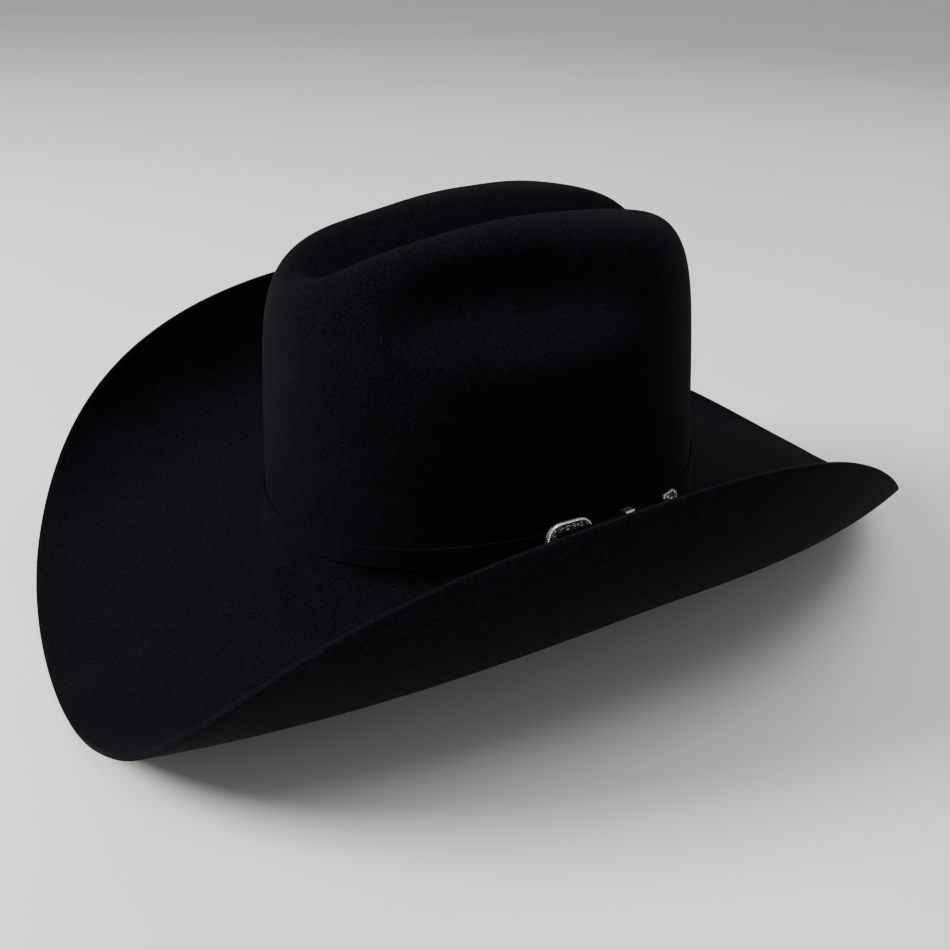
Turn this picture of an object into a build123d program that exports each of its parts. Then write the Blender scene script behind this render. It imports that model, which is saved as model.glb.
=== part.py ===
from build123d import *
import os
from math import atan2, cos, degrees, hypot, pi, radians, sin

import numpy as np

# Western felt hat: cattleman crown, rolled raw-edge brim, narrow self-felt band with a
# three-piece buckle set, leather sweatband and satin lining.
# Millimetres and degrees. +Z up, front of the hat towards -Y, wearer's left towards +X.
# "Hat frame": origin at the centre of the base oval, at the level of the flat brim.
# HAT_PLACE moves everything so that the hat stands on Z = 0, centred on its own box.

os.makedirs("parts", exist_ok=True)

# ---------------------------------------------------------------- driving dimensions
FELT = 2.4  # thickness of the felt
HALF_WIDTH = 84.1  # base oval, outside of the crown
HALF_LENGTH = 103.9
HAT_PLACE = Vector(6.87, -13.76, 50.26)

# crown
CROWN_HEIGHT = 124.0
CROWN_SQUARENESS = 8.4  # exponent of the shoulder curve
TAPER_SIDE = 0.189  # how much the crown narrows from base to top
TAPER_FRONT = 0.05
TAPER_BACK = 0.117
FRONT_DROP = 0.112  # the top slopes down towards the front by this part of its height
FRONT_DROP_POWER = 1.54
BACK_DROP = 0.055
CREASE_DEPTH = 16.0
CREASE_WIDTH = 13.0
CREASE_WIDEN = -0.14  # change from the middle to the back
CREASE_DEEPEN = -0.431
CREASE_FADE = 1.4
DENT_DEPTH = 19.8  # side dents
DENT_Y = -18.9
DENT_HALF_LENGTH = 49.9
DENT_Z = 113.8
DENT_HALF_HEIGHT = 25.5

# brim, as a flat oval sheet that is then dipped at front and back and rolled at the sides
BRIM_HALF_WIDTH = 205.1
BRIM_BACK_NARROWING = 9.5
BRIM_FRONT = 206.8
BRIM_BACK = 233.5
BRIM_FRONT_FULLNESS = 0.059  # fuller than an ellipse between front and side
BRIM_BACK_FULLNESS = -0.102
DIP_FRONT = 20.1
DIP_BACK = 17.7
DIP_ROUNDNESS = 0.53  # the smaller, the sooner the dip reaches its full slope
ROLL_START = 44.5
ROLL_START_FRONT = -45.0
ROLL_START_BACK = -44.2
ROLL_ANGLE = 125.0
ROLL_FRONT = 0.513
ROLL_BACK = 1.377
ROLL_POWER = 1.47
ROLL_SOFTNESS = 0.06
RIGHT_ROLL_FACTOR = 0.892  # the wearer's right side is rolled a little less
RIGHT_ROLL_START = 13.2
SIDE_FALL = 19.9  # slope of the sheet where it meets the side of the crown
SHEET_REACH = 87.0  # distance over which that slope builds up

# junction of crown and brim
CORNER_UP = 4.5
CORNER_OUT = 5.0
BASE_BLEND = 25.0  # height over which the crown forgets the shape of the brim line


# ---------------------------------------------------------------- hat surface formulas
def oval(turn):
    """Point of the base oval and its outward normal; turn is measured from the front"""
    x, y = HALF_WIDTH * np.sin(turn), -HALF_LENGTH * np.cos(turn)
    nx, ny = np.sin(turn) / HALF_WIDTH, -np.cos(turn) / HALF_LENGTH
    length = np.hypot(nx, ny)
    return x, y, nx / length, ny / length


def brim_outline(turn):
    """Edge of the flat brim sheet"""
    s, c = np.sin(turn), np.cos(turn)
    fullness = np.where(c > 0, BRIM_FRONT_FULLNESS, BRIM_BACK_FULLNESS)
    reach = 1 + fullness * np.sin(2 * turn) ** 2
    half_width = BRIM_HALF_WIDTH - BRIM_BACK_NARROWING * np.clip(-c, 0, 1) ** 2
    half_length = np.where(c > 0, BRIM_FRONT, BRIM_BACK)
    return half_width * reach * s, -half_length * reach * c


STEPS = (np.arange(24) + 0.5) / 24


def rolled(across, along):
    """Place across the hat and height of a sheet point, after the sides are rolled"""
    front = np.clip(-along / BRIM_FRONT, 0, None)
    back = np.clip(along / BRIM_BACK, 0, None)
    right = across < 0
    start = ROLL_START + ROLL_START_FRONT * front**2 + ROLL_START_BACK * back**2
    angle = radians(ROLL_ANGLE) * (1 + ROLL_FRONT * front**2 + ROLL_BACK * back**2)
    start = np.where(right, start + RIGHT_ROLL_START, start)
    angle = np.where(right, angle * RIGHT_ROLL_FACTOR, angle)
    distance = np.abs(across)[..., None] * STEPS
    t = (distance - start[..., None]) / (BRIM_HALF_WIDTH - start[..., None])
    ramp = 0.5 * (t + np.sqrt(t * t + ROLL_SOFTNESS**2))
    fall = radians(SIDE_FALL) * np.clip(distance / SHEET_REACH, 0, 1) ** 2
    slope = angle[..., None] * ramp**ROLL_POWER - fall
    return across * np.cos(slope).mean(-1), np.abs(across) * np.sin(slope).mean(-1)


def dipped(along):
    """Place along the hat and height of a sheet point, after front and back are dipped"""
    front = along < 0
    reach = np.where(front, BRIM_FRONT, BRIM_BACK)
    angle = np.where(front, radians(DIP_FRONT), radians(DIP_BACK))
    t = np.abs(along)[..., None] * STEPS / reach[..., None]
    slope = angle[..., None] * (1 + DIP_ROUNDNESS) * t / (DIP_ROUNDNESS + t)
    return along * np.cos(slope).mean(-1), -np.abs(along) * np.sin(slope).mean(-1)


def shaped_sheet(across, along):
    x, z_roll = rolled(across, along)
    y, z_dip = dipped(along)
    return np.stack([x, y, z_roll + z_dip], -1)


def brim_surface(turn, fraction, depth):
    """Point of the brim: fraction 0 at the crown's corner, 1 at the edge"""
    x0, y0, nx, ny = oval(turn)
    x1, y1 = brim_outline(turn)
    x0, y0 = x0 + nx * CORNER_OUT, y0 + ny * CORNER_OUT
    across, along = x0 + (x1 - x0) * fraction, y0 + (y1 - y0) * fraction
    point = shaped_sheet(across, along)
    if not depth:
        return point
    small = 0.5
    du = shaped_sheet(across + small, along) - shaped_sheet(across - small, along)
    dv = shaped_sheet(across, along + small) - shaped_sheet(across, along - small)
    normal = np.cross(du, dv)
    normal /= np.linalg.norm(normal, axis=-1, keepdims=True)
    return point - normal * depth


def base_height(turn):
    """Height of the line where crown and brim meet"""
    x, y, _, _ = oval(turn)
    return shaped_sheet(x, y)[..., 2]


def crown_surface(turn, rise, depth):
    """Point of the crown; rise goes from 0 at the base to pi/2 at the crease"""
    norm = (np.cos(rise) ** CROWN_SQUARENESS + np.sin(rise) ** CROWN_SQUARENESS) ** (
        -1 / CROWN_SQUARENESS
    )
    r, h = norm * np.cos(rise), norm * np.sin(rise)
    x = (HALF_WIDTH - depth) * np.sin(turn) * r
    y = -(HALF_LENGTH - depth) * np.cos(turn) * r
    place = y / HALF_LENGTH
    front, back = np.clip(-place, 0, None), np.clip(place, 0, None)
    top = 1 - FRONT_DROP * front**FRONT_DROP_POWER - BACK_DROP * back**2
    z = (CROWN_HEIGHT - depth) * h * top
    x = x * (1 - TAPER_SIDE * h)
    y = y * (1 - np.where(place < 0, TAPER_FRONT, TAPER_BACK) * h)
    dent = DENT_DEPTH * np.exp(-(np.abs((y - DENT_Y) / DENT_HALF_LENGTH) ** 3))
    dent = dent * np.exp(-(((z - DENT_Z) / DENT_HALF_HEIGHT) ** 2))
    x = x - np.tanh(x / 25) * dent
    width = CREASE_WIDTH * (1 + CREASE_WIDEN * place)
    crease = CREASE_DEPTH * (1 + CREASE_DEEPEN * place) * np.exp(-((x / width) ** 2))
    z = z - crease * h**CREASE_FADE
    z = z + base_height(turn) * np.exp(-z / BASE_BLEND)
    return np.stack([x, y, z], -1)


def wall_height_factor(turn):
    place = -np.cos(turn)
    front, back = np.clip(-place, 0, None), np.clip(place, 0, None)
    return CROWN_HEIGHT * (1 - FRONT_DROP * front**FRONT_DROP_POWER - BACK_DROP * back**2)


def wall(turn, height, out):
    """Point beside the crown wall, height above the base line, out from the felt"""
    x, y, nx, ny = oval(turn)
    h = height / wall_height_factor(turn)
    taper = np.where(np.cos(turn) > 0, TAPER_FRONT, TAPER_BACK)
    x = x * (1 - TAPER_SIDE * h) + nx * out
    y = y * (1 - taper * h) + ny * out
    z = height + base_height(turn) * np.exp(-np.clip(height, 0, None) / BASE_BLEND)
    return np.stack([x, y, z], -1)


# ---------------------------------------------------------------- solids from point grids
def skin(grid):
    rows = [[Vector(*point) for point in row] for row in grid]
    return Face.make_surface_from_array_of_points(rows, tol=SKIN_TOLERANCE, min_deg=3, max_deg=5)


def edge_at(face, point):
    return face.edges().sort_by(lambda edge: edge.distance_to(Vector(*point)))[0]


def ribbon(corner_paths):
    """Long solid whose corners follow the given point paths, with ruled faces between them"""
    edges = [Edge.make_spline([Vector(*p) for p in path]) for path in corner_paths]
    pairs = list(zip(edges, edges[1:] + edges[:1]))
    faces = [Face.make_surface_from_curves(one, other) for one, other in pairs]
    half = len(edges) // 2
    for end in (0, 1):
        corners = [edge @ end for edge in edges]
        one, other = corners[:half], corners[half:][::-1]
        bars = [Edge.make_line(*pair) for pair in zip(one, other)]
        faces += [Face.make_surface_from_curves(*pair) for pair in zip(bars, bars[1:])]
    solid = Solid(Shell(faces))
    return solid if solid.volume > 0 else Solid(Shell([-faces[0]] + faces[1:]))


def finish(shape, name):
    """Stand the piece in the part's own frame and write it"""
    placed = shape.moved(Location(HAT_PLACE))
    export_step(placed, f"parts/{name}.step")
    print(name, round(placed.volume, 2), placed.is_valid)


# ---------------------------------------------------------------- felt
SKIN_TOLERANCE = 0.05
FRONT_COLUMN = 48  # of the grids' columns, the one at turn 0


def crown_grid(depth):
    turn = np.linspace(-pi, pi, 2 * FRONT_COLUMN + 1)
    lowest = atan2(CORNER_UP, CROWN_HEIGHT)
    t = np.linspace(1, -1, 30)
    rises = lowest + (pi / 2 - lowest) * (0.5 + 0.3 * t + 0.2 * t**3)
    grid = np.array([crown_surface(turn, rise, depth) for rise in rises])
    grid[0] = grid[0].mean(0)
    grid[:, -1] = grid[:, 0]
    return grid


def brim_grid(depth):
    turn = np.linspace(-pi, pi, 2 * FRONT_COLUMN + 1)
    fractions = np.linspace(0, 1, 14)
    grid = np.array([brim_surface(turn, np.full_like(turn, t), depth) for t in fractions])
    grid[:, -1] = grid[:, 0]
    return grid


def felt_body():
    """One-piece hat body: crown and brim, the same thickness all over"""
    faces, rims = [], []
    for depth in (0.0, FELT):
        crown, brim = crown_grid(depth), brim_grid(depth)
        crown_skin, brim_skin = skin(crown), skin(brim)
        crown_foot = edge_at(crown_skin, crown[-1][FRONT_COLUMN])
        brim_start = edge_at(brim_skin, brim[0][FRONT_COLUMN]).reversed()
        corner = Face.make_surface_from_curves(crown_foot, brim_start)
        faces += [-crown_skin, corner, brim_skin]
        rims.append(edge_at(brim_skin, brim[-1][FRONT_COLUMN]))
    faces.append(Face.make_surface_from_curves(*rims))
    return Solid(Shell(faces))


finish(felt_body(), "felt_body")

# ---------------------------------------------------------------- sweatband
LEATHER = 1.0
LEATHER_TOP = 54.0
LEATHER_BOTTOM = 2.6
LEATHER_OUT = -(FELT + 1.2)  # outer face, inside the felt
LEATHER_IN = LEATHER_OUT - LEATHER
BACK_GAP = 0.008  # half of the butt joint at the back, radians
REED_RADIUS = 0.8
REED_HEIGHT = 1.2
REED_GAP = 0.05
TAPE = (1.0, 9.0, -(FELT + 0.6), -(FELT + 0.25))  # bottom, top, inner and outer face
SEAM_TAPE = (8.0, 42.0, LEATHER_IN - 0.6, LEATHER_IN - 0.15)
SEAM_TAPE_HALF = 0.075
TICKET = (22.0, 38.0, LEATHER_IN - 0.5, LEATHER_IN - 0.25)
TICKET_TURNS = (2.35, 2.6)
AROUND = np.linspace(-pi + BACK_GAP, pi - BACK_GAP, 97)


def wall_strip(bottom, top, inner, outer, turn):
    corners = ((bottom, inner), (bottom, outer), (top, outer), (top, inner))
    return ribbon([wall(turn, height, out) for height, out in corners])


def wall_rod(height, out, radius, turn, sides=8):
    """Thin rod along the wall, of eight-sided section"""
    paths = []
    for angle in np.arange(sides) * 2 * pi / sides:
        path = wall(turn, height, out + radius * cos(angle))
        path[:, 2] += radius * sin(angle)
        paths.append(path)
    return ribbon(paths)


def shifted_turns(half, count=5):
    return np.linspace(pi - half, pi + half, count)


leather_middle = (LEATHER_OUT + LEATHER_IN) / 2
finish(wall_strip(LEATHER_BOTTOM, LEATHER_TOP, LEATHER_IN, LEATHER_OUT, AROUND), "sweatband_leather")
reed_turns = np.linspace(-pi + REED_GAP, pi - REED_GAP, 97)
finish(wall_rod(REED_HEIGHT, leather_middle, REED_RADIUS, reed_turns), "sweatband_reed")
finish(wall_strip(*TAPE, AROUND), "sweatband_tape")
finish(wall_strip(*SEAM_TAPE, shifted_turns(SEAM_TAPE_HALF)), "sweatband_seam_tape")
finish(wall_strip(*TICKET, np.linspace(*TICKET_TURNS, 9)), "size_ticket")


# ---------------------------------------------------------------- places on the wall
def wall_plane(turn, height):
    """Plane on the crown wall: x along the band towards the back, y up, z outwards"""
    step = 1e-3
    around = wall(np.array([turn - step, turn + step]), height, 0.0)
    upright = wall(np.array([turn, turn]), np.array([height - 1, height + 1]), 0.0)
    x_dir = Vector(*(around[1] - around[0])).normalized()
    up = Vector(*(upright[1] - upright[0])).normalized()
    origin = Vector(*wall(np.array([turn]), height, 0.0)[0])
    return Plane(origin, x_dir=x_dir, z_dir=x_dir.cross(up))


def on_wall(turn, height, shape):
    return shape.moved(wall_plane(turn, height).location)


# ---------------------------------------------------------------- sweatband trims
STITCHES = 112
STITCH = (3.0, 0.5, 0.3)
STITCH_HEIGHT = 6.0
BOW_HEIGHT = 16.0
BOW_LOOP = (5.6, 2.8)  # half-axes of one loop
BOW_HOLE = (3.6, 1.3)
BOW_REACH = 5.6
BOW_THICKNESS = 1.2
BOW_KNOT_RADIUS = 1.9
BOW_TAIL = (10.0, 2.2)
BOW_TAIL_ANGLE = 38
BOW_OUT = SEAM_TAPE[2] - 1.1 - BOW_THICKNESS


def stitches():
    turns = -pi + (np.arange(STITCHES) + 0.5) * 2 * pi / STITCHES
    out = LEATHER_IN - 0.15 - STITCH[2] / 2
    thread = Pos(0, 0, out) * Box(*STITCH)
    clear = [turn for turn in turns if abs(abs(turn) - pi) > SEAM_TAPE_HALF + 0.03]
    return Compound([on_wall(turn, STITCH_HEIGHT, thread) for turn in clear])


def bow():
    outline = Circle(BOW_KNOT_RADIUS)
    for side in (-1, 1):
        place = Pos(side * BOW_REACH, 0)
        outline += place * (Ellipse(*BOW_LOOP) - Ellipse(*BOW_HOLE))
        tail = Rot(0, 0, -side * BOW_TAIL_ANGLE) * Pos(side * BOW_TAIL[0] / 2, 0)
        outline += tail * Rectangle(*BOW_TAIL)
    return Pos(0, 0, BOW_OUT) * extrude(outline, BOW_THICKNESS)


finish(stitches(), "sweatband_stitches")
finish(on_wall(pi, BOW_HEIGHT, bow()), "sweatband_bow")

# ---------------------------------------------------------------- lining
SATIN = 0.4
LINING_BOTTOM = 46.0
LINING_TOP = 76.0
LINING_BOTTOM_OUT = -(FELT + 0.6)  # tucked behind the leather
LINING_TOP_OUT = -12.0
LINING_LEVELS = 7
TIP_GAP = 0.3
PIPING_RADIUS = 0.8
SHIELD = (44.0, 66.0, 0.3)


def lining_out(height):
    """The lining leans inwards as it rises, clear of the dents"""
    t = (height - LINING_BOTTOM) / (LINING_TOP - LINING_BOTTOM)
    return LINING_BOTTOM_OUT + (LINING_TOP_OUT - LINING_BOTTOM_OUT) * t**3


def lining_side():
    paths = []
    for face in (0.0, -SATIN):
        heights = np.linspace(LINING_BOTTOM, LINING_TOP, LINING_LEVELS)
        levels = [wall(AROUND, height, lining_out(height) + face) for height in heights]
        paths += levels if face == 0.0 else levels[::-1]
    return ribbon(paths)


def top_oval(out):
    """Planar oval at the lining's top: half an ellipse in front, half behind"""
    side = float(wall(np.array([pi / 2]), LINING_TOP, out)[0][0])
    front = -float(wall(np.array([0.0]), LINING_TOP, out)[0][1])
    back = float(wall(np.array([pi]), LINING_TOP, out)[0][1])
    return side, front, back


def lining_tip():
    side, front, back = top_oval(LINING_TOP_OUT)
    half_plane = Rectangle(4 * side, 2 * front + 2 * back, align=(Align.CENTER, Align.MAX))
    front_half = Ellipse(side, front) & half_plane
    back_half = Ellipse(side, back) & (Rot(0, 0, 180) * half_plane)
    return Pos(0, 0, LINING_TOP + TIP_GAP) * extrude(front_half + back_half, SATIN)


def lining_piping():
    side, front, back = top_oval(LINING_TOP_OUT - 1)
    z = LINING_TOP + TIP_GAP + SATIN + PIPING_RADIUS + 0.1
    turn = np.linspace(-pi + 0.01, pi - 0.01, 97)
    length = np.where(np.cos(turn) > 0, front, back)
    paths = []
    for angle in np.arange(8) * pi / 4:
        grow = PIPING_RADIUS * cos(angle)
        x = (side + grow) * np.sin(turn)
        y = -(length + grow) * np.cos(turn)
        paths.append(np.stack([x, y, np.full_like(x, z + PIPING_RADIUS * sin(angle))], -1))
    return ribbon(paths)


def lining_shield():
    sheet = extrude(Ellipse(SHIELD[0] / 2, SHIELD[1] / 2), SHIELD[2])
    return Pos(0, -3, LINING_TOP + TIP_GAP - 0.2 - SHIELD[2]) * sheet


finish(lining_side(), "lining_side")
finish(lining_tip(), "lining_tip")
finish(lining_piping(), "lining_piping")
finish(lining_shield(), "lining_shield")

# ---------------------------------------------------------------- hat band strap
BAND_WIDTH = 8.6
BAND_HEIGHT = 10.4  # middle of the band above the base line
BAND = 1.0  # thickness
BAR_TURN = radians(88.4)
BAND_RADIUS = 103.9  # millimetres of band for one radian of turn beside the buckle
BAR_OUT = 2.5
BAR_RADIUS = 0.7
FOLD_RADIUS = 1.25  # middle of the strap where it is folded round the bar
TAIL_END = 9.0
STRAP_END = 56.0
LAP = 2 * pi * BAND_RADIUS
# distance along the band from the bar, and distance of the strap's middle from the felt
FIRST_LAYER = [(0, 3.75), (6, 2.35), (9.5, 2.35), (14, 1.4), (31, 1.4), (37, 0.8)]
SECOND_LAYER = [(-12.5, 0.8), (0, 4.95), (7, 3.55), (10, 3.55), (14.5, 2.6), (31, 2.6), (37, 2.0)]
TONGUE_SLOT = (-2.2, 3.4, 1.3, 0.6, 4.4)  # ends along the band, half height, out from, to
BILLET_SLOT = (-7.8, 0.7, 1.1, 1.0, 6.6)


def level(t, stations):
    places, outs = zip(*stations)
    i = int(np.clip(np.searchsorted(places, t), 1, len(places) - 1))
    u = float(np.clip((t - places[i - 1]) / (places[i] - places[i - 1]), 0, 1))
    return outs[i - 1] + (outs[i] - outs[i - 1]) * u * u * (3 - 2 * u)


def strap_middle():
    """Along and out values of the strap's middle, from its folded end to its free end"""
    low = BAR_OUT - FOLD_RADIUS
    points = [(t, low) for t in (TAIL_END, 6.0, 3.0, 1.5)]
    for angle in np.linspace(-pi / 2, -3 * pi / 2, 11):
        points.append((FOLD_RADIUS * cos(angle), BAR_OUT + FOLD_RADIUS * sin(angle)))
    points += [(t, level(t, FIRST_LAYER)) for t in np.arange(1.5, 39, 1.5)]
    points += [(t, level(t, FIRST_LAYER)) for t in np.linspace(43, LAP - 20, 90)]
    points += [(LAP + t, level(t, SECOND_LAYER)) for t in np.arange(-16, STRAP_END + 1, 1.5)]
    return np.array(points)


def strap():
    middle = strap_middle()
    along = np.gradient(middle, axis=0)
    along /= np.linalg.norm(along, axis=1, keepdims=True)
    left = np.stack([-along[:, 1], along[:, 0]], -1)
    paths = []
    for face, edge in ((-1, -1), (1, -1), (1, 1), (-1, 1)):
        t, out = (middle + left * face * BAND / 2).T
        path = []
        for one_t, one_out in zip(t, out):
            plane = wall_plane(BAR_TURN + one_t / BAND_RADIUS, BAND_HEIGHT)
            path.append(tuple(plane.from_local_coords((0, edge * BAND_WIDTH / 2, one_out))))
        paths.append(np.array(path))
    return ribbon(paths)


def slot(ends):
    start, end, half, low, high = ends
    block = Box(end - start, 2 * half, high - low)
    return on_wall(BAR_TURN, BAND_HEIGHT, Pos((start + end) / 2, 0, (low + high) / 2) * block)


# ---------------------------------------------------------------- buckle set
FRAME = (-17.5, 4.5, 8.0, 1.9, 3.5)  # ends, half height, back and front
FRAME_RISE = 1.0  # of its middle above the middle of the band
FRAME_OPENING = (-13.0, 6.5, 4.8)
FRAME_CORNER = 7.0
BAR_HALF = 6.6
BAR_RISE = 0.5
TONGUE_CLEARANCE = 0.05
TONGUE_WALL = 0.6
TONGUE_HALF = 0.8
TONGUE_PROFILE = [(-0.4, 2.95), (-0.4, 3.75), (-15, 4.5), (-16.2, 4.3), (-16.4, 3.68), (-14.6, 3.68)]
KEEPER_T = 23.4
KEEPER = (5.5, 5.5, 0.3, 4.3)  # length, half height, back and front
KEEPER_HOLE = (4.6, 0.7, 3.3)
TIP_T = 52.0
TIP = (-5.0, 3.0, 4.8, 2.65, 3.45)  # ends of the straight part, half height, back, front
TIP_POINT = 7.6
PIN_PLACES = [(-3.4, 2.6), (-3.4, -2.6)]
PIN_RADIUS = 0.5
PIN_BACK = 1.6
PIN_HEAD = (1.0, 0.35)


def box_between(x0, x1, half_y, z0, z1):
    return Pos((x0 + x1) / 2, 0, (z0 + z1) / 2) * Box(x1 - x0, 2 * half_y, z1 - z0)


def upright_cylinder(radius, half, rise=0):
    """Cylinder along the band's width, round the buckle's bar"""
    return Pos(0, rise, BAR_OUT) * Rot(90, 0, 0) * Cylinder(radius, 2 * half)


def buckle_frame():
    x0, x1, half_y, z0, z1 = FRAME
    plan = Pos((x0 + x1) / 2, FRAME_RISE) * RectangleRounded(x1 - x0, 2 * half_y, FRAME_CORNER)
    body = Pos(0, 0, z0) * extrude(plan, z1 - z0)
    body = chamfer(body.faces().sort_by(Axis.Z)[-1].edges(), 0.5)
    opening = FRAME_OPENING
    body -= box_between(opening[0], opening[1], opening[2], z0 - 1, z1 + 1)
    return body - upright_cylinder(BAR_RADIUS, BAR_HALF, BAR_RISE)


def buckle_tongue():
    outer = BAR_RADIUS + TONGUE_CLEARANCE + TONGUE_WALL
    side = make_face(Polyline(*TONGUE_PROFILE, close=True))
    shank = Rot(90, 0, 0) * extrude(side, TONGUE_HALF, both=True)
    ring = upright_cylinder(outer, TONGUE_HALF)
    return (ring + shank) - upright_cylinder(BAR_RADIUS + TONGUE_CLEARANCE, 2 * TONGUE_HALF)


def keeper_loop():
    length, half_y, z0, z1 = KEEPER
    body = box_between(-length / 2, length / 2, half_y, z0, z1)
    body = chamfer(body.faces().sort_by(Axis.Z)[-1].edges(), 0.6)
    half_hole, hole_back, hole_front = KEEPER_HOLE
    return body - box_between(-length, length, half_hole, hole_back, hole_front)


def pin_places():
    return [Pos(x, y, 0) for x, y in PIN_PLACES]


def strap_tip():
    x0, x1, half_y, z0, z1 = TIP
    plan = make_face(
        Line((x0, -half_y), (x1, -half_y))
        + ThreePointArc((x1, -half_y), (TIP_POINT, 0), (x1, half_y))
        + Polyline((x1, half_y), (x0, half_y), (x0, -half_y))
    )
    body = Pos(0, 0, z0) * extrude(plan, z1 - z0)
    for place in pin_places():
        body -= place * Pos(0, 0, (z0 + z1) / 2) * Cylinder(PIN_RADIUS, z1 - z0)
    return body


def tip_pins():
    pins = []
    for place in pin_places():
        shank = Pos(0, 0, (PIN_BACK + TIP[4]) / 2) * Cylinder(PIN_RADIUS, TIP[4] - PIN_BACK)
        head = Pos(0, 0, TIP[4] + PIN_HEAD[1] / 2) * Cylinder(*PIN_HEAD)
        pins.append(place * (shank + head))
    return pins


def at_band(t, shape):
    return on_wall(BAR_TURN + t / BAND_RADIUS, BAND_HEIGHT, shape)


band = strap() - slot(TONGUE_SLOT) - slot(BILLET_SLOT)
for place in pin_places():
    hole = place * Pos(0, 0, 2.0) * Cylinder(PIN_RADIUS + 0.15, 1.6)
    band -= at_band(TIP_T, hole)
finish(band, "hat_band_strap")
finish(at_band(0, buckle_frame()), "buckle_frame")
finish(at_band(0, upright_cylinder(BAR_RADIUS, BAR_HALF, BAR_RISE)), "buckle_bar")
finish(at_band(0, buckle_tongue()), "buckle_tongue")
finish(at_band(KEEPER_T, keeper_loop()), "keeper_loop")
finish(at_band(TIP_T, strap_tip()), "strap_tip")
finish(Compound([at_band(TIP_T, pin) for pin in tip_pins()]), "tip_pins")

# ---------------------------------------------------------------- threads of the band
FOLD_STITCH = (0.4, 1.6, 0.12)
FOLD_STITCH_T = 7.6
FOLD_STITCH_Y = (-2.6, 0.0, 2.6)
TACK = (0.6, 1.8, 0.25)
TACK_Y = -3.0
TACK_TURNS = (-2.8, -1.6, 2.3, 2.9)

fold_out = level(FOLD_STITCH_T, FIRST_LAYER) + BAND / 2 + 0.03 + FOLD_STITCH[2] / 2
fold_threads = [Pos(0, y, fold_out) * Box(*FOLD_STITCH) for y in FOLD_STITCH_Y]
finish(Compound([at_band(FOLD_STITCH_T, thread) for thread in fold_threads]), "band_fold_stitch")
tack_out = level(36, FIRST_LAYER) + BAND / 2 + 0.03 + TACK[2] / 2
tack = Pos(0, TACK_Y, tack_out) * Box(*TACK)
finish(Compound([on_wall(turn, BAND_HEIGHT, tack) for turn in TACK_TURNS]), "band_tacks")

# ---------------------------------------------------------------- joint axes, metres
for name, t, out in (("buckle_bar", 0, BAR_OUT), ("keeper", KEEPER_T, 2.0)):
    plane = wall_plane(BAR_TURN + t / BAND_RADIUS, BAND_HEIGHT)
    anchor = plane.from_local_coords((0, 0, out)) + HAT_PLACE
    print(name, tuple(anchor / 1000), "up", tuple(plane.y_dir), "along", tuple(plane.x_dir))
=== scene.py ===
from math import atan2, cos, pi, radians, sin

import bmesh
import bpy
import numpy as np
from mathutils import Matrix, Vector


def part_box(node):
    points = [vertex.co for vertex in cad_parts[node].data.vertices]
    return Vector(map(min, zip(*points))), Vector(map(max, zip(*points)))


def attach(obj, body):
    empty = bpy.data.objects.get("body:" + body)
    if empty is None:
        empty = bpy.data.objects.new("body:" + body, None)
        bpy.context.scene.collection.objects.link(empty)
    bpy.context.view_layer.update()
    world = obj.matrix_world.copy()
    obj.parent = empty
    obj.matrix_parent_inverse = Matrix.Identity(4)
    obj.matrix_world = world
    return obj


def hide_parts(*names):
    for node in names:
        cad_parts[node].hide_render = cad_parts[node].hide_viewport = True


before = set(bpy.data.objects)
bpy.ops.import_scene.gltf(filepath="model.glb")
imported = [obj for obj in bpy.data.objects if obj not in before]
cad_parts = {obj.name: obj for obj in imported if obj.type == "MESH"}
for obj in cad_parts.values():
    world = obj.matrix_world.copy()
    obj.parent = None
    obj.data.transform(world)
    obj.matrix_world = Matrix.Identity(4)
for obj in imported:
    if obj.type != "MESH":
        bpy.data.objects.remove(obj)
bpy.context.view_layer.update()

# Hat surface in part.py's millimetres. The brim and the wall have part.py's own formulas. The
# crown's crease and side dents are shaped more strongly here, most of all at the crease's front.
FELT = 2.4  # thickness of the felt
HALF_WIDTH, HALF_LENGTH = 84.1, 103.9  # base oval, outside of the crown
HAT_PLACE = np.array([6.87, -13.76, 50.26])
# crown
CROWN_HEIGHT = 124.0
CROWN_SQUARENESS = 8.4  # exponent of the shoulder curve
TAPER_SIDE = 0.189  # how much the crown narrows from base to top
TAPER_FRONT = 0.05
TAPER_BACK = 0.117
FRONT_DROP = 0.112  # the top slopes down towards the front by this part of its height
FRONT_DROP_POWER = 1.54
BACK_DROP = 0.055
CREASE_DEPTH = 16.0
CREASE_WIDTH = 13.0
CREASE_WIDEN = -0.14  # change from the middle to the back
CREASE_DEEPEN = -0.2
CREASE_FADE = 3.0
CREASE_FRONT_END = 83.0  # in front of the middle, where the crease runs out
CREASE_END_SOFTNESS = 9.0
DENT_DEPTH = 19.8  # side dents
DENT_Y = -18.9
DENT_HALF_LENGTH = 49.9
DENT_Z = 113.8
DENT_HALF_HEIGHT = 27.0
POCKET_DEPTH = 11.0  # hollow in the middle of each side dent
POCKET_HALF_LENGTH = 42.0
POCKET_Z = 99.0
POCKET_HALF_HEIGHT = 15.0

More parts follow.
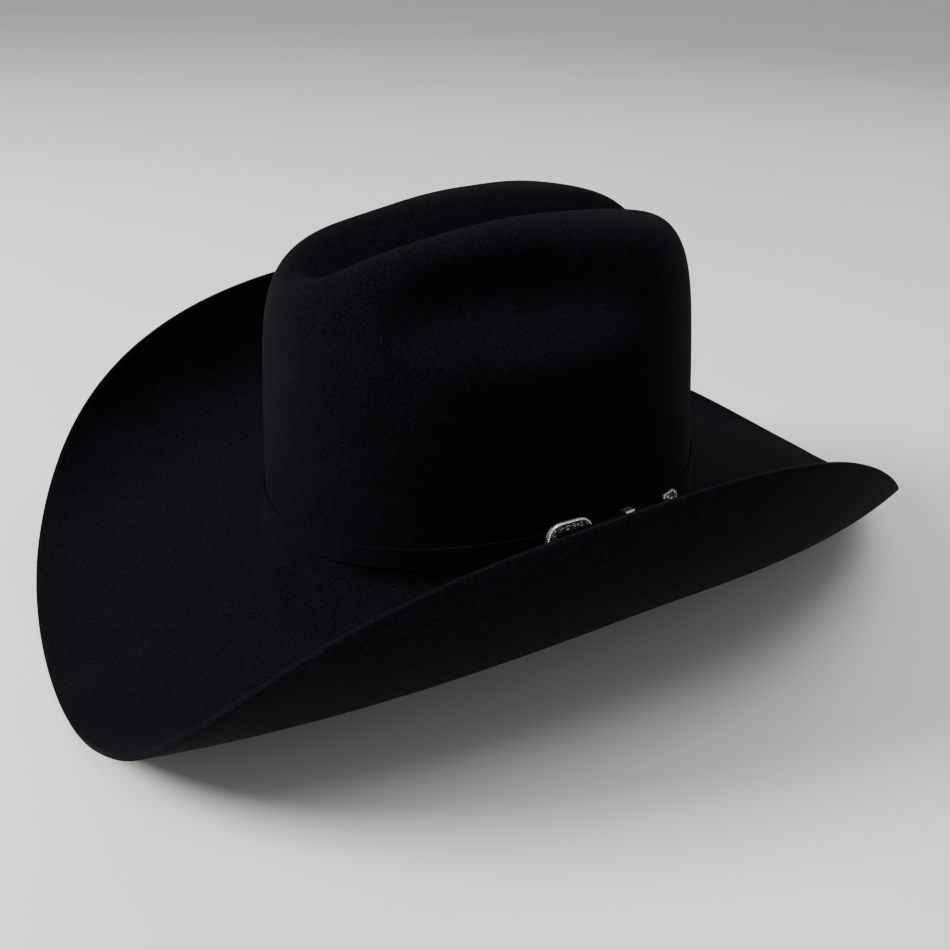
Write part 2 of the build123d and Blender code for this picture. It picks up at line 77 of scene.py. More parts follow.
# brim, as a flat oval sheet that is then dipped at front and back and rolled at the sides
BRIM_HALF_WIDTH = 205.1
BRIM_BACK_NARROWING = 9.5
BRIM_FRONT = 206.8
BRIM_BACK = 233.5
BRIM_FRONT_FULLNESS = 0.059  # fuller than an ellipse between front and side
BRIM_BACK_FULLNESS = -0.102
DIP_FRONT = 20.1
DIP_BACK = 17.7
DIP_ROUNDNESS = 0.53  # the smaller, the sooner the dip reaches its full slope
ROLL_START = 44.5
ROLL_START_FRONT = -45.0
ROLL_START_BACK = -44.2
ROLL_ANGLE = 125.0
ROLL_FRONT = 0.513
ROLL_BACK = 1.377
ROLL_POWER = 1.47
ROLL_SOFTNESS = 0.06
RIGHT_ROLL_FACTOR = 0.892  # the wearer's right side is rolled a little less
RIGHT_ROLL_START = 13.2
SIDE_FALL = 19.9  # slope of the sheet where it meets the side of the crown
SHEET_REACH = 87.0  # distance over which that slope builds up

# junction of crown and brim
CORNER_UP = 4.5
CORNER_OUT = 5.0
BASE_BLEND = 25.0  # height over which the crown forgets the shape of the brim line
STEPS = (np.arange(24) + 0.5) / 24


def oval(turn):
    """Point of the base oval and its outward normal; turn is measured from the front"""
    x, y = HALF_WIDTH * np.sin(turn), -HALF_LENGTH * np.cos(turn)
    nx, ny = np.sin(turn) / HALF_WIDTH, -np.cos(turn) / HALF_LENGTH
    length = np.hypot(nx, ny)
    return x, y, nx / length, ny / length


def brim_outline(turn):
    """Edge of the flat brim sheet"""
    s, c = np.sin(turn), np.cos(turn)
    fullness = np.where(c > 0, BRIM_FRONT_FULLNESS, BRIM_BACK_FULLNESS)
    reach = 1 + fullness * np.sin(2 * turn) ** 2
    half_width = BRIM_HALF_WIDTH - BRIM_BACK_NARROWING * np.clip(-c, 0, 1) ** 2
    half_length = np.where(c > 0, BRIM_FRONT, BRIM_BACK)
    return half_width * reach * s, -half_length * reach * c


def rolled(across, along):
    """Place across the hat and height of a sheet point, after the sides are rolled"""
    front = np.clip(-along / BRIM_FRONT, 0, None)
    back = np.clip(along / BRIM_BACK, 0, None)
    right = across < 0
    start = ROLL_START + ROLL_START_FRONT * front**2 + ROLL_START_BACK * back**2
    angle = radians(ROLL_ANGLE) * (1 + ROLL_FRONT * front**2 + ROLL_BACK * back**2)
    start = np.where(right, start + RIGHT_ROLL_START, start)
    angle = np.where(right, angle * RIGHT_ROLL_FACTOR, angle)
    distance = np.abs(across)[..., None] * STEPS
    t = (distance - start[..., None]) / (BRIM_HALF_WIDTH - start[..., None])
    ramp = 0.5 * (t + np.sqrt(t * t + ROLL_SOFTNESS**2))
    fall = radians(SIDE_FALL) * np.clip(distance / SHEET_REACH, 0, 1) ** 2
    slope = angle[..., None] * ramp**ROLL_POWER - fall
    return across * np.cos(slope).mean(-1), np.abs(across) * np.sin(slope).mean(-1)


def dipped(along):
    """Place along the hat and height of a sheet point, after front and back are dipped"""
    front = along < 0
    reach = np.where(front, BRIM_FRONT, BRIM_BACK)
    angle = np.where(front, radians(DIP_FRONT), radians(DIP_BACK))
    t = np.abs(along)[..., None] * STEPS / reach[..., None]
    slope = angle[..., None] * (1 + DIP_ROUNDNESS) * t / (DIP_ROUNDNESS + t)
    return along * np.cos(slope).mean(-1), -np.abs(along) * np.sin(slope).mean(-1)


def shaped_sheet(across, along):
    x, z_roll = rolled(across, along)
    y, z_dip = dipped(along)
    return np.stack([x, y, z_roll + z_dip], -1)


def brim_surface(turn, fraction, depth):
    """Point of the brim: fraction 0 at the crown's corner, 1 at the edge"""
    x0, y0, nx, ny = oval(turn)
    x1, y1 = brim_outline(turn)
    x0, y0 = x0 + nx * CORNER_OUT, y0 + ny * CORNER_OUT
    across, along = x0 + (x1 - x0) * fraction, y0 + (y1 - y0) * fraction
    point = shaped_sheet(across, along)
    if not depth:
        return point
    small = 0.5
    du = shaped_sheet(across + small, along) - shaped_sheet(across - small, along)
    dv = shaped_sheet(across, along + small) - shaped_sheet(across, along - small)
    normal = np.cross(du, dv)
    normal /= np.linalg.norm(normal, axis=-1, keepdims=True)
    return point - normal * depth


def base_height(turn):
    """Height of the line where crown and brim meet"""
    x, y, _, _ = oval(turn)
    return shaped_sheet(x, y)[..., 2]


def crown_surface(turn, rise, depth):
    """Point of the crown; rise goes from 0 at the base to pi/2 at the crease"""
    norm = (np.cos(rise) ** CROWN_SQUARENESS + np.sin(rise) ** CROWN_SQUARENESS) ** (
        -1 / CROWN_SQUARENESS
    )
    r, h = norm * np.cos(rise), norm * np.sin(rise)
    x = (HALF_WIDTH - depth) * np.sin(turn) * r
    y = -(HALF_LENGTH - depth) * np.cos(turn) * r
    place = y / HALF_LENGTH
    front, back = np.clip(-place, 0, None), np.clip(place, 0, None)
    top = 1 - FRONT_DROP * front**FRONT_DROP_POWER - BACK_DROP * back**2
    z = (CROWN_HEIGHT - depth) * h * top
    x = x * (1 - TAPER_SIDE * h)
    y = y * (1 - np.where(place < 0, TAPER_FRONT, TAPER_BACK) * h)
    dent = DENT_DEPTH * np.exp(-(np.abs((y - DENT_Y) / DENT_HALF_LENGTH) ** 3))
    dent = dent * np.exp(-(((z - DENT_Z) / DENT_HALF_HEIGHT) ** 4))
    pocket = ((y - DENT_Y) / POCKET_HALF_LENGTH) ** 2 + ((z - POCKET_Z) / POCKET_HALF_HEIGHT) ** 2
    dent = dent + POCKET_DEPTH * np.exp(-pocket)
    x = x - np.tanh(x / 25) * dent
    width = CREASE_WIDTH * (1 + CREASE_WIDEN * place)
    crease = CREASE_DEPTH * (1 + CREASE_DEEPEN * place) * np.exp(-((x / width) ** 2))
    crease = crease * (0.5 - 0.5 * np.tanh((-y - CREASE_FRONT_END) / CREASE_END_SOFTNESS))
    z = z - crease * h**CREASE_FADE
    z = z + base_height(turn) * np.exp(-z / BASE_BLEND)
    return np.stack([x, y, z], -1)


def wall_height_factor(turn):
    place = -np.cos(turn)
    front, back = np.clip(-place, 0, None), np.clip(place, 0, None)
    return CROWN_HEIGHT * (1 - FRONT_DROP * front**FRONT_DROP_POWER - BACK_DROP * back**2)


def wall(turn, height, out):
    """Point beside the crown wall, height above the base line, out from the felt"""
    x, y, nx, ny = oval(turn)
    h = height / wall_height_factor(turn)
    taper = np.where(np.cos(turn) > 0, TAPER_FRONT, TAPER_BACK)
    x = x * (1 - TAPER_SIDE * h) + nx * out
    y = y * (1 - taper * h) + ny * out
    z = height + base_height(turn) * np.exp(-np.clip(height, 0, None) / BASE_BLEND)
    return np.stack([x, y, z], -1)


# ---------------------------------------------------------------- meshes
def metres(points):
    return (np.asarray(points) + HAT_PLACE) / 1000


def mesh_piece(name, verts, faces, body, slot):
    mesh = bpy.data.meshes.new(name)
    mesh.from_pydata([tuple(v) for v in verts], [], [tuple(int(i) for i in f) for f in faces])
    bm = bmesh.new()
    bm.from_mesh(mesh)
    bmesh.ops.remove_doubles(bm, verts=bm.verts, dist=1e-7)
    bmesh.ops.recalc_face_normals(bm, faces=bm.faces)
    bm.to_mesh(mesh)
    bm.free()
    mesh.polygons.foreach_set("use_smooth", [True] * len(mesh.polygons))
    obj = bpy.data.objects.new(name, mesh)
    bpy.context.scene.collection.objects.link(obj)
    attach(obj, body)
    return obj


def grid_faces(rows, cols, wrap_rows=False, wrap_cols=False, start=0):
    faces = []
    for i in range(rows if wrap_rows else rows - 1):
        for j in range(cols if wrap_cols else cols - 1):
            i2, j2 = (i + 1) % rows, (j + 1) % cols
            faces.append([start + a * cols + b for a, b in ((i, j), (i, j2), (i2, j2), (i2, j))])
    return faces


def swept(sections):
    """Closed solid through equal closed sections, given as [station][corner] points"""
    sections = np.asarray(sections)
    n, m, _ = sections.shape
    faces = grid_faces(n, m, wrap_cols=True)
    faces += [list(range(m))[::-1], [(n - 1) * m + k for k in range(m)]]
    return sections.reshape(-1, 3), faces


def merged(parts):
    verts, faces, start = [], [], 0
    for v, f in parts:
        verts.append(np.asarray(v))
        faces += [[start + i for i in face] for face in f]
        start += len(v)
    return np.concatenate(verts), faces


def tube(path, radius, sides=8):
    """Round tube with pointed ends along local points"""
    path = np.asarray(path, float)
    step = np.gradient(path, axis=0)
    step /= np.linalg.norm(step, axis=1, keepdims=True)
    side = np.cross(step, [0.0, 0.0, 1.0])
    side /= np.linalg.norm(side, axis=1, keepdims=True) + 1e-9
    up = np.cross(side, step)
    radii = radius * np.sqrt(np.clip(1 - np.linspace(-1, 1, len(path)) ** 10, 0.05, 1))
    angle = np.arange(sides) * 2 * pi / sides
    ring = side[:, None] * np.cos(angle)[:, None] + up[:, None] * np.sin(angle)[:, None]
    return swept(path[:, None] + ring * radii[:, None, None])


def bead(centre, radius):
    """Small ball with flattened ends"""
    a, b = np.linspace(0.02, pi - 0.02, 6), np.arange(10) * pi / 5
    ring = np.stack([np.sin(a)[:, None] * np.cos(b), np.sin(a)[:, None] * np.sin(b),
                     np.repeat(np.cos(a)[:, None], 10, 1)], -1)
    return swept(np.asarray(centre) + ring * radius)


def with_poles(rows, first, last):
    """Closed mesh of rings of points, with a fan round a pole at each end"""
    n, cols, _ = rows.shape
    verts = metres(np.concatenate([rows.reshape(-1, 3), [first], [last]]))
    faces = grid_faces(n, cols, wrap_cols=True)
    for j in range(cols):
        k = (j + 1) % cols
        faces.append([n * cols, k, j])
        faces.append([n * cols + 1, (n - 1) * cols + j, (n - 1) * cols + k])
    return verts, faces


# ---------------------------------------------------------------- felt
RIM_CORNERS = ((0.12, 0.1), (0.45, 0.18), (1.95, 0.18), (2.28, 0.1))  # depth and outwards, cut edge


def felt_mesh():
    cols = 288
    turn = np.linspace(-pi, pi, cols, endpoint=False)
    lowest = atan2(CORNER_UP, CROWN_HEIGHT)
    t = np.linspace(1, -1, 72)[1:]
    rises = lowest + (pi / 2 - lowest) * (0.5 + 0.3 * t + 0.2 * t**3)
    crown = np.array([crown_surface(turn, rise, 0.0) for rise in rises])
    fractions = np.linspace(0, 1, 56)
    brim = np.array([brim_surface(turn, np.full_like(turn, f), 0.0) for f in fractions])
    x, y, _, _ = oval(turn)
    knee = np.stack([x, y, base_height(turn)], -1)
    u = np.linspace(0, 1, 9)[1:-1, None, None]
    corner = (1 - u) ** 2 * crown[-1] + 2 * u * (1 - u) * knee + u**2 * brim[0]
    top = np.repeat(crown_surface(turn, pi / 2, 0.0).mean(0)[None, None], cols, 1)
    outer = np.concatenate([crown, corner, brim])
    full = np.concatenate([top, outer])
    down = np.gradient(full, axis=0)
    around = np.roll(full, -1, 1) - np.roll(full, 1, 1)
    normal = np.cross(around, down)[1:]
    normal /= np.linalg.norm(normal, axis=-1, keepdims=True)
    if normal[-1, 0, 2] < 0:
        normal = -normal
    edge = outer[-1]
    out = edge - outer[-2]
    out /= np.linalg.norm(out, axis=-1, keepdims=True)
    rim = [edge - normal[-1] * depth + out * outwards for depth, outwards in RIM_CORNERS]
    inner = (outer - normal * FELT)[::-1]
    rows = np.concatenate([outer, rim, inner])
    return with_poles(rows, top[0, 0], top[0, 0] - [0, 0, FELT])


felt = mesh_piece("felt_shell", *felt_mesh(), "hat", "felt")
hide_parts("felt_body")


# ---------------------------------------------------------------- sheets round the wall
def wall_sweep(profile, turns):
    """profile: closed list of (height, out) corners"""
    return swept(metres(np.stack([wall(turns, h, o) for h, o in profile], 1)))


BACK_GAP = 0.008  # half of the butt joint at the back, radians
LEATHER_OUT, LEATHER_IN = -(FELT + 1.2), -(FELT + 2.2)  # faces of the leather, inside the felt
# corners of the leather's section as (height, out); the inner face bulges beside the seam
BOTTOM_EDGE = [(2.6 + 0.3, LEATHER_IN), (2.6, LEATHER_IN + 0.3), (2.6, LEATHER_OUT - 0.3), (2.9, LEATHER_OUT)]
OUTER_HEIGHTS = (6, 12, 20, 30, 40, 50, 53.2)
TOP_EDGE = [
    (53.8, LEATHER_OUT - 0.25), (53.9, LEATHER_OUT - 0.5), (53.8, LEATHER_IN + 0.25), (53.2, LEATHER_IN),
]
INNER_BULGES = (
    (50, 0.0), (40, 0.0), (30, 0.0), (20, 0.0), (12, 0.0), (9, 0.15),
    (7.4, 0.2), (6.6, 0.0), (6, -0.08), (5.4, 0.0), (4.4, 0.2),
)

profile = BOTTOM_EDGE + [(height, LEATHER_OUT) for height in OUTER_HEIGHTS] + TOP_EDGE
profile += [(height, LEATHER_IN - bulge) for height, bulge in INNER_BULGES]
around = np.linspace(-pi + BACK_GAP, pi - BACK_GAP, 241)
leather = mesh_piece("sweatband", *wall_sweep(profile, around), "hat", "sweat_leather")
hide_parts("sweatband_leather")


LINING_BOTTOM, LINING_TOP = 46.0, 76.0
LINING_HEIGHT = LINING_TOP - LINING_BOTTOM
LINING_TOP_OUT = -12.0
PLEAT_COUNTS = (73, 97, 121, 140, 166)  # waves round the crown that add up to the pleats
PLEAT_DEPTH = 0.7
SAG = 0.5  # of the oval tip's middle


def lining_out(height):
    """The lining leans inwards as it rises from behind the leather"""
    t = (height - LINING_BOTTOM) / LINING_HEIGHT
    return -(FELT + 0.6) + (LINING_TOP_OUT + FELT + 0.6) * t**3


def gathered_lining():
    """Satin side of the lining, gathered in small pleats where it meets the oval tip"""
    turns = np.linspace(-pi + BACK_GAP, pi - BACK_GAP, 1201)
    heights = np.linspace(LINING_BOTTOM, LINING_TOP, 16)
    rng = np.random.default_rng(4)
    strengths = rng.uniform(0.3, 1, len(PLEAT_COUNTS))
    phases = rng.uniform(0, 6, len(PLEAT_COUNTS))
    wave = sum(a * np.sin(k * turns + p) for a, k, p in zip(strengths, PLEAT_COUNTS, phases))
    wave = 0.5 + 0.5 * wave / np.abs(wave).max()
    layers = []
    for face in (0.0, -0.3):
        for h in heights if face == 0.0 else heights[::-1]:
            pleat = -PLEAT_DEPTH * ((h - LINING_BOTTOM) / LINING_HEIGHT) ** 2 * wave
            layers.append(wall(turns, h, lining_out(h) + face + pleat))
    return swept(metres(np.stack(layers, 1)))


verts, faces = gathered_lining()
lining = mesh_piece("lining_gathers", verts, faces, "hat", "satin")
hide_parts("lining_side")


def oval_sheet(z, thick):
    """Oval tip of the lining, sagging a little; half an ellipse in front, half behind"""
    side = float(wall(np.array([pi / 2]), LINING_TOP, LINING_TOP_OUT)[0][0])
    front = -float(wall(np.array([0.0]), LINING_TOP, LINING_TOP_OUT)[0][1])
    back = float(wall(np.array([pi]), LINING_TOP, LINING_TOP_OUT)[0][1])
    turn = np.linspace(-pi, pi, 144, endpoint=False)
    x, y = side * np.sin(turn), -np.where(np.cos(turn) > 0, front, back) * np.cos(turn)
    r = np.linspace(0, 1, 25)[1:, None]
    sag = -SAG * (1 - r**2)
    puff = 0.06 * np.sin(9 * turn + 3 * r) * r * (1 - r) * 4
    low = np.stack([x * r, y * r, z + sag + puff + 0 * x], -1)
    rows = np.concatenate([low, (low + [0, 0, thick])[::-1]])
    return with_poles(rows, [0, 0, z - SAG], [0, 0, z - SAG + thick])


tip = mesh_piece("lining_oval", *oval_sheet(LINING_TOP + 0.35, 0.35), "hat", "satin")
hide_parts("lining_tip")
tip_area = sum(p.area for p in tip.data.polygons) / 2
lo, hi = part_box("lining_tip")
tip_flat = (hi[0] - lo[0], hi[1] - lo[1])
tip_area = min(tip_area, tip_flat[0] * tip_flat[1])


# ---------------------------------------------------------------- places on the wall
def wall_matrix(turn, height):
    step = 1e-3
    around = wall(np.array([turn - step, turn + step]), height, 0.0)
    upright = wall(np.array([turn, turn]), np.array([height - 1, height + 1]), 0.0)
    x = Vector(around[1] - around[0]).normalized()
    up = Vector(upright[1] - upright[0]).normalized()
    z = x.cross(up).normalized()
    return np.array([x, z.cross(x), z]), wall(np.array([turn]), height, 0.0)[0]


def placed(turn, height, part):
    axes, origin = wall_matrix(turn, height)
    verts, faces = part
    return metres(np.asarray(verts) @ axes + origin), faces


BAND_HEIGHT, BAR_TURN, BAND_RADIUS = 10.4, radians(88.4), 103.9


def at_band(t, part):
    return placed(BAR_TURN + t / BAND_RADIUS, BAND_HEIGHT, part)


# ---------------------------------------------------------------- ribbon bow at the back
def ribbon_strip(path, widths, thick=0.35):
    """Flat ribbon, its width along local y, following (x, y, z) points"""
    path = np.asarray(path, float)
    step = np.gradient(path[:, [0, 2]], axis=0)
    step /= np.linalg.norm(step, axis=1, keepdims=True) + 1e-9
    across = np.stack([-step[:, 1], 0 * step[:, 0], step[:, 0]], -1)
    sections = []
    for p, a, w in zip(path, across, widths):
        y = np.linspace(-0.5, 0.5, 7)
        one = [p + a * (thick / 2 + 0.12 * cos(2 * pi * k)) + [0, k * w, 0] for k in y]
        two = [p + a * (-thick / 2 + 0.12 * cos(2 * pi * k)) + [0, k * w, 0] for k in y[::-1]]
        sections.append(one + two)
    return swept(sections)


def bow():
    parts = []
    back = LEATHER_IN - 2.0
    for side in (-1, 1):
        u = np.linspace(0.05, pi - 0.05, 33)
        x, z = side * 10.5 * np.sin(u) ** 0.9, back - 1.2 * (1 - np.cos(u))
        parts.append(ribbon_strip(np.stack([x, 0.25 * np.sin(u), z], -1), 2.4 + 2.6 * np.sin(u) ** 1.3))
        v = np.linspace(0, 1, 17)
        tail = np.stack([side * (0.8 + 8.5 * v), -0.8 - 6.0 * v**1.2, back - 0.5 - 0.5 * np.sin(pi * v)], -1)
        parts.append(ribbon_strip(tail, 2.2 + 1.6 * v))
    u = np.linspace(0, 2 * pi, 25)
    knot = np.stack([1.5 * np.cos(u), 0 * u, back - 1.25 + 1.65 * np.sin(u)], -1)
    parts.append(ribbon_strip(knot, 4.0 + 0.3 * np.cos(2 * u), 0.5))
    return merged(parts)


bow_piece = mesh_piece("ribbon_bow", *placed(pi, 16.0, bow()), "hat", "ribbon")
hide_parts("sweatband_bow")


# ---------------------------------------------------------------- engraving on the buckle set
def spiral(x, y, z, size, hand=1, spin=0.0, turns=1.6, radius=0.17):
    u = np.linspace(0.12, 1, 30)
    a = spin + hand * turns * 2 * pi * u
    path = np.stack([x + size * u * np.cos(a), y + size * u * np.sin(a), np.full_like(u, z)], -1)
    return tube(path, radius)


def leaf(x, y, z, length, angle):
    u = np.linspace(0, 1, 9)
    path = np.stack([x + cos(angle) * length * u, y + sin(angle) * length * u, np.full_like(u, z)], -1)
    return tube(path, 0.25)


# millimetres on the band's face: x along the band from the buckle's bar, y up
FRAME_ENDS, FRAME_RISE, FRAME_HALF, FRAME_CORNER, FRAME_Z = (-17.5, 4.5), 1.0, 8.0, 7.0, 3.5
BEAD_INSET, BEAD_STEP = 0.62, 0.86
KEEPER_T, KEEPER_Z = 23.4, 4.3
TIP_T, TIP_Z, TIP_EDGE = 52.0, 3.45, 4.3
BEAD_SINK = 0.02
SCROLLS = (  # x, y, size, hand, spin
    (-14.6, 4.6, 1.3, 1, 0.3), (-15.1, -3.2, 1.3, -1, 2.0), (-11.6, 6.7, 1.25, 1, 1.2),
    (-8.2, 6.6, 1.25, -1, 0.4), (-4.8, 6.6, 1.25, 1, 1.0), (-1.5, 6.6, 1.2, -1, 0.2), (1.5, 6.2, 0.9, 1, 1.1),
)
LEAVES = (  # x, y, length, angle
    (-10.9, 6.2, 1.0, 0.7), (-7.3, 7.2, 1.0, -0.7), (-3.7, 6.2, 1.0, 0.7),
    (-14.2, 5.9, 1.0, 0.5), (-15.5, 2.4, 1.3, -1.6), (-15.5, -1.9, 1.2, 1.6),
)


def frame_beads():
    """Beads along the frame's rounded edge, left out on the bar's side, where the strap passes"""
    x0, x1 = FRAME_ENDS
    path = []
    for sx, sy, start in ((1, -1, -pi / 2), (1, 1, 0.0), (-1, 1, pi / 2), (-1, -1, pi)):
        corner_x = (x1 - FRAME_CORNER) if sx > 0 else (x0 + FRAME_CORNER)
        corner_y = FRAME_RISE + sy * (FRAME_HALF - FRAME_CORNER)
        reach = FRAME_CORNER - BEAD_INSET
        for a in np.linspace(start, start + pi / 2, 30):
            path.append((corner_x + reach * cos(a), corner_y + reach * sin(a)))
    path = np.array(path + [path[0]])
    length = np.concatenate([[0], np.cumsum(np.linalg.norm(np.diff(path, axis=0), axis=1))])
    beads = []
    for s in np.arange(0, length[-1], BEAD_STEP):
        x, y = [np.interp(s, length, path[:, k]) for k in (0, 1)]
        if x <= 3.0 or abs(y) >= 5.6:
            beads.append(bead((x, y, FRAME_Z - BEAD_SINK), 0.4))
    return beads


def keeper_engraving():
    rows = [(sx * 2.0, y) for sx in (-1, 1) for y in np.arange(-4.6, 4.7, 0.74)]
    parts = [bead((x, y, KEEPER_Z - BEAD_SINK), 0.34) for x, y in rows]
    spirals = ((-3.1, 1, 0.5), (0.0, -1, 1.5), (3.1, 1, 2.5))
    return parts + [spiral(0, y, KEEPER_Z, 1.05, hand, spin) for y, hand, spin in spirals]


def tip_engraving():
    places = [(x, sy * TIP_EDGE) for x in np.arange(-4.4, 3.2, 0.8) for sy in (-1, 1)]
    for a in np.linspace(-1.1, 1.1, 11):
        y = TIP_EDGE * sin(a) / sin(1.1)
        places.append((3.0 + 3.85 * (1 - (y / TIP_EDGE) ** 2), y))
    parts = [bead((x, y, TIP_Z - BEAD_SINK), 0.34) for x, y in places]
    parts += [spiral(-0.6, 2.0, TIP_Z, 1.15, 1, 0.5), spiral(-0.6, -2.0, TIP_Z, 1.15, -1, -0.5)]
    return parts + [spiral(3.0, 0, TIP_Z, 1.3, 1, 0.0)]


scrolls = [spiral(x, y, FRAME_Z, size, hand, spin) for x, y, size, hand, spin in SCROLLS]
scrolls += [leaf(x, y, FRAME_Z, length, angle) for x, y, length, angle in LEAVES]
mesh_piece("buckle_beads", *at_band(0, merged(frame_beads())), "buckle", "silver")
mesh_piece("buckle_scrolls", *at_band(0, merged(scrolls)), "buckle", "silver")
mesh_piece("keeper_engraving", *at_band(KEEPER_T, merged(keeper_engraving())), "keeper", "silver")
mesh_piece("tip_engraving", *at_band(TIP_T, merged(tip_engraving())), "hat", "silver")


# ---------------------------------------------------------------- materials
def material(name, build):
    mat = bpy.data.materials.new(name)
    mat.use_nodes = True
    tree = mat.node_tree
    shader = tree.nodes["Principled BSDF"]

    def node(kind, **values):
        made = tree.nodes.new(kind)
        for key, value in values.items():
            if key in made.inputs:
                made.inputs[key].default_value = value
            else:
                setattr(made, key, value)
        return made

    coords = node("ShaderNodeTexCoord").outputs["Object"]
    build(node, tree.links.new, shader, coords)
    return mat


def noise(node, link, coords, scale, detail=3.0, rough=0.55):
    made = node("ShaderNodeTexNoise", Scale=scale, Detail=detail, Roughness=rough)
    link(coords, made.inputs["Vector"])
    return made.outputs["Fac"]


def ramp(node, link, value, stops):
    made = node("ShaderNodeValToRGB")
    elements = made.color_ramp.elements
    for element, (place, color) in zip(elements, (stops[0], stops[-1])):
        element.position, element.color = place, (*color, 1)
    for place, color in stops[1:-1]:
        elements.new(place).color = (*color, 1)
    link(value, made.inputs["Fac"])
    return made.outputs["Color"]


def bump(node, link, shader, *layers):
    """layers: (height output, strength, distance in metres)"""
    last = None
    for value, strength, distance in layers:
        made = node("ShaderNodeBump", Strength=strength, Distance=distance)
        link(value, made.inputs["Height"])
        if last:
            link(last, made.inputs["Normal"])
        last = made.outputs["Normal"]
    link(last, shader.inputs["Normal"])


def math(node, link, kind, a, b):
    made = node("ShaderNodeMath", operation=kind)
    for place, value in enumerate((a, b)):
        if isinstance(value, (int, float)):
            made.inputs[place].default_value = value
        else:
            link(value, made.inputs[place])
    return made.outputs[0]


FELT_DARK = (0.0004, 0.00046, 0.0007)
FELT_MID = (0.0014, 0.0016, 0.0024)
FELT_LIGHT = (0.0044, 0.0051, 0.0078)


def felt_look(node, link, shader, coords):
    grain = noise(node, link, coords, 1300, 5.0, 0.75)
    soft = noise(node, link, coords, 38, 3.0)
    fine = math(node, link, "MULTIPLY", grain, 0.9)
    mixed = math(node, link, "ADD", fine, math(node, link, "MULTIPLY", soft, 0.1))
    stops = [(0.4, FELT_DARK), (0.5, FELT_MID), (0.6, FELT_LIGHT)]
    link(ramp(node, link, mixed, stops), shader.inputs["Base Color"])
    shader.inputs["Roughness"].default_value = 0.92
    shader.inputs["Specular IOR Level"].default_value = 0.04
    shader.inputs["Sheen Weight"].default_value = 0.006
    shader.inputs["Sheen Roughness"].default_value = 0.45
    shader.inputs["Sheen Tint"].default_value = (0.7, 0.82, 1.0, 1)
    fibres = noise(node, link, coords, 2600, 5.0, 0.75)
    bump(node, link, shader, (soft, 0.12, 0.0006), (grain, 0.5, 0.00025), (fibres, 0.45, 0.00012))


def leather_look(node, link, shader, coords):
    cells = node("ShaderNodeTexVoronoi", Scale=900, feature="F1")
    link(coords, cells.inputs["Vector"])
    tone = noise(node, link, coords, 60)
    browns = [(0.3, (0.010, 0.008, 0.007)), (0.7, (0.022, 0.017, 0.014))]
    link(ramp(node, link, tone, browns), shader.inputs["Base Color"])
    link(ramp(node, link, tone, [(0.3, (0.38,) * 3), (0.7, (0.52,) * 3)]), shader.inputs["Roughness"])
    folds = noise(node, link, coords, 220)
    bump(node, link, shader, (cells.outputs["Distance"], 0.35, 0.0002), (folds, 0.2, 0.0003))


def weave_look(dark, light, scale, roughness=0.7, sheen=0.2):
    def look(node, link, shader, coords):
        waves = []
        for direction in ("Z", "DIAGONAL"):
            wave = node("ShaderNodeTexWave", Scale=scale, Distortion=0.4, Detail=1.0)
            wave.wave_type, wave.bands_direction = "BANDS", direction
            link(coords, wave.inputs["Vector"])
            waves.append(wave.outputs["Fac"])
        weave = math(node, link, "MULTIPLY", *waves)
        soft = noise(node, link, coords, 90)
        halves = [math(node, link, "MULTIPLY", value, 0.5) for value in (weave, soft)]
        tone = math(node, link, "ADD", *halves)
        link(ramp(node, link, tone, [(0.2, dark), (0.7, light)]), shader.inputs["Base Color"])
        shader.inputs["Roughness"].default_value = roughness
        shader.inputs["Sheen Weight"].default_value = sheen
        bump(node, link, shader, (weave, 0.4, 0.00015))
    return look


def silver_look(node, link, shader, coords):
    tone = noise(node, link, coords, 1400, 3.0)
    greys = [(0.32, (0.32, 0.31, 0.30)), (0.5, (0.74, 0.73, 0.71)), (0.7, (0.9, 0.89, 0.87))]
    link(ramp(node, link, tone, greys), shader.inputs["Base Color"])
    shader.inputs["Metallic"].default_value = 1.0
    link(ramp(node, link, tone, [(0.3, (0.42,) * 3), (0.7, (0.2,) * 3)]), shader.inputs["Roughness"])
    bump(node, link, shader, (tone, 0.3, 0.0001))


def plastic_look(dark, light, roughness, alpha=1.0):
    def look(node, link, shader, coords):
        tone = noise(node, link, coords, 120)
        link(ramp(node, link, tone, [(0.3, dark), (0.7, light)]), shader.inputs["Base Color"])
        shader.inputs["Roughness"].default_value = roughness
        shader.inputs["Alpha"].default_value = alpha
        bump(node, link, shader, (noise(node, link, coords, 700), 0.1, 0.0001))
    return look


looks = {
    "felt": material("felt", felt_look),
    "leather": material("sweat_leather", leather_look),
    "satin": material("satin", weave_look((0.012, 0.012, 0.014), (0.045, 0.044, 0.05), 900, 0.32, 0.4)),
    "tape": material("cotton_tape", weave_look((0.008, 0.008, 0.008), (0.03, 0.03, 0.03), 600)),
    "ribbon": material("grosgrain", weave_look((0.008, 0.008, 0.009), (0.035, 0.034, 0.036), 450, 0.55, 0.3)),
    "thread": material("thread", weave_look((0.015, 0.014, 0.013), (0.06, 0.056, 0.052), 1500)),
    "black_thread": material(
        "black_thread", weave_look((0.001, 0.001, 0.0014), (0.004, 0.004, 0.005), 1500, 0.9, 0.0)
    ),
    "silver": material("engraved_silver", silver_look),
    "reed": material("reed_plastic", plastic_look((0.02, 0.02, 0.02), (0.035, 0.035, 0.035), 0.5)),
    "shield": material("clear_film", plastic_look((0.7, 0.71, 0.72), (0.8, 0.81, 0.82), 0.08, 0.3)),
    "ticket": material("ticket_paper", plastic_look((0.55, 0.54, 0.5), (0.66, 0.65, 0.61), 0.85)),
}
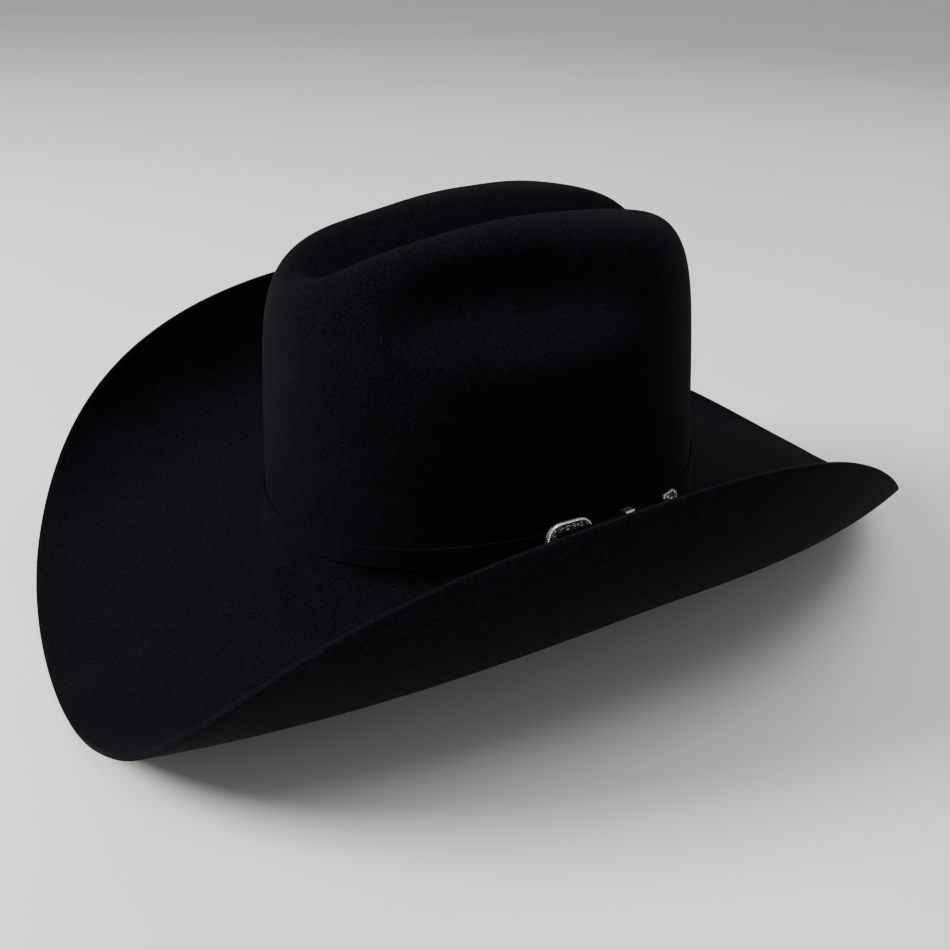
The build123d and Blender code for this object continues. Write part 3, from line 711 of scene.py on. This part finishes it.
uses = {
    "felt": ["felt_shell", "hat_band_strap", "felt_body"],
    "leather": ["sweatband", "sweatband_leather"],
    "satin": ["lining_gathers", "lining_oval", "lining_side", "lining_tip", "lining_piping"],
    "tape": ["sweatband_tape", "sweatband_seam_tape"],
    "black_thread": ["band_fold_stitch", "band_tacks"],
    "ribbon": ["ribbon_bow", "sweatband_bow"],
    "thread": ["sweatband_stitches"],
    "silver": ["buckle_frame", "buckle_bar", "buckle_tongue", "keeper_loop", "strap_tip", "tip_pins",
               "buckle_beads", "buckle_scrolls", "keeper_engraving", "tip_engraving"],
    "reed": ["sweatband_reed"],
    "shield": ["lining_shield"],
    "ticket": ["size_ticket"],
}
for look, names in uses.items():
    for name in names:
        mesh = bpy.data.objects[name].data
        if mesh.materials:
            for place in range(len(mesh.materials)):
                mesh.materials[place] = looks[look]
        else:
            mesh.materials.append(looks[look])

# ---------------------------------------------------------------- floor, light, camera
bpy.ops.mesh.primitive_plane_add(size=30, location=(0, 0, 0))
floor = bpy.context.object
floor.name = "floor"


def floor_look(node, link, shader, coords):
    stops = [(0.3, (0.86, 0.83, 0.79)), (0.7, (0.89, 0.87, 0.83))]
    link(ramp(node, link, noise(node, link, coords, 3), stops), shader.inputs["Base Color"])
    shader.inputs["Roughness"].default_value = 0.7


floor.data.materials.append(material("floor", floor_look))

world = bpy.data.worlds.new("studio")
bpy.context.scene.world = world
world.use_nodes = True
world.node_tree.nodes["Background"].inputs["Color"].default_value = (1, 1, 1, 1)
world.node_tree.nodes["Background"].inputs["Strength"].default_value = 0.42


def area_light(name, place, size, power, color=(1, 1, 1)):
    data = bpy.data.lights.new(name, "AREA")
    data.shape, data.size, data.energy, data.color = "DISK", size, power, color
    obj = bpy.data.objects.new(name, data)
    bpy.context.scene.collection.objects.link(obj)
    obj.location = place
    obj.rotation_euler = (Vector((0, 0, 0.08)) - Vector(place)).to_track_quat("-Z", "Y").to_euler()


area_light("key", (-0.4, -1.4, 1.15), 0.7, 54, (1.0, 0.98, 0.96))
area_light("fill", (-0.4, 1.3, 1.5), 1.2, 9, (0.9, 0.95, 1.0))
area_light("top", (0.5, -0.3, 1.6), 0.8, 9)

camera = bpy.data.objects.new("camera", bpy.data.cameras.new("camera"))
bpy.context.scene.collection.objects.link(camera)
right = Vector((0.50701, 0.86099, 0.04036))
up = Vector((-0.41400, 0.20219, 0.88754))
forward = Vector((-0.75601, 0.46670, -0.45896))
turned = Matrix((right, up, -forward)).transposed().to_4x4()
camera.matrix_world = Matrix.Translation((0.36758, -0.22594, 0.27414)) @ turned
camera.data.sensor_width = 36
camera.data.lens = 37.965
camera.data.shift_x, camera.data.shift_y = -0.0312, -0.0273
camera.data.clip_start = 0.01
bpy.context.scene.camera = camera
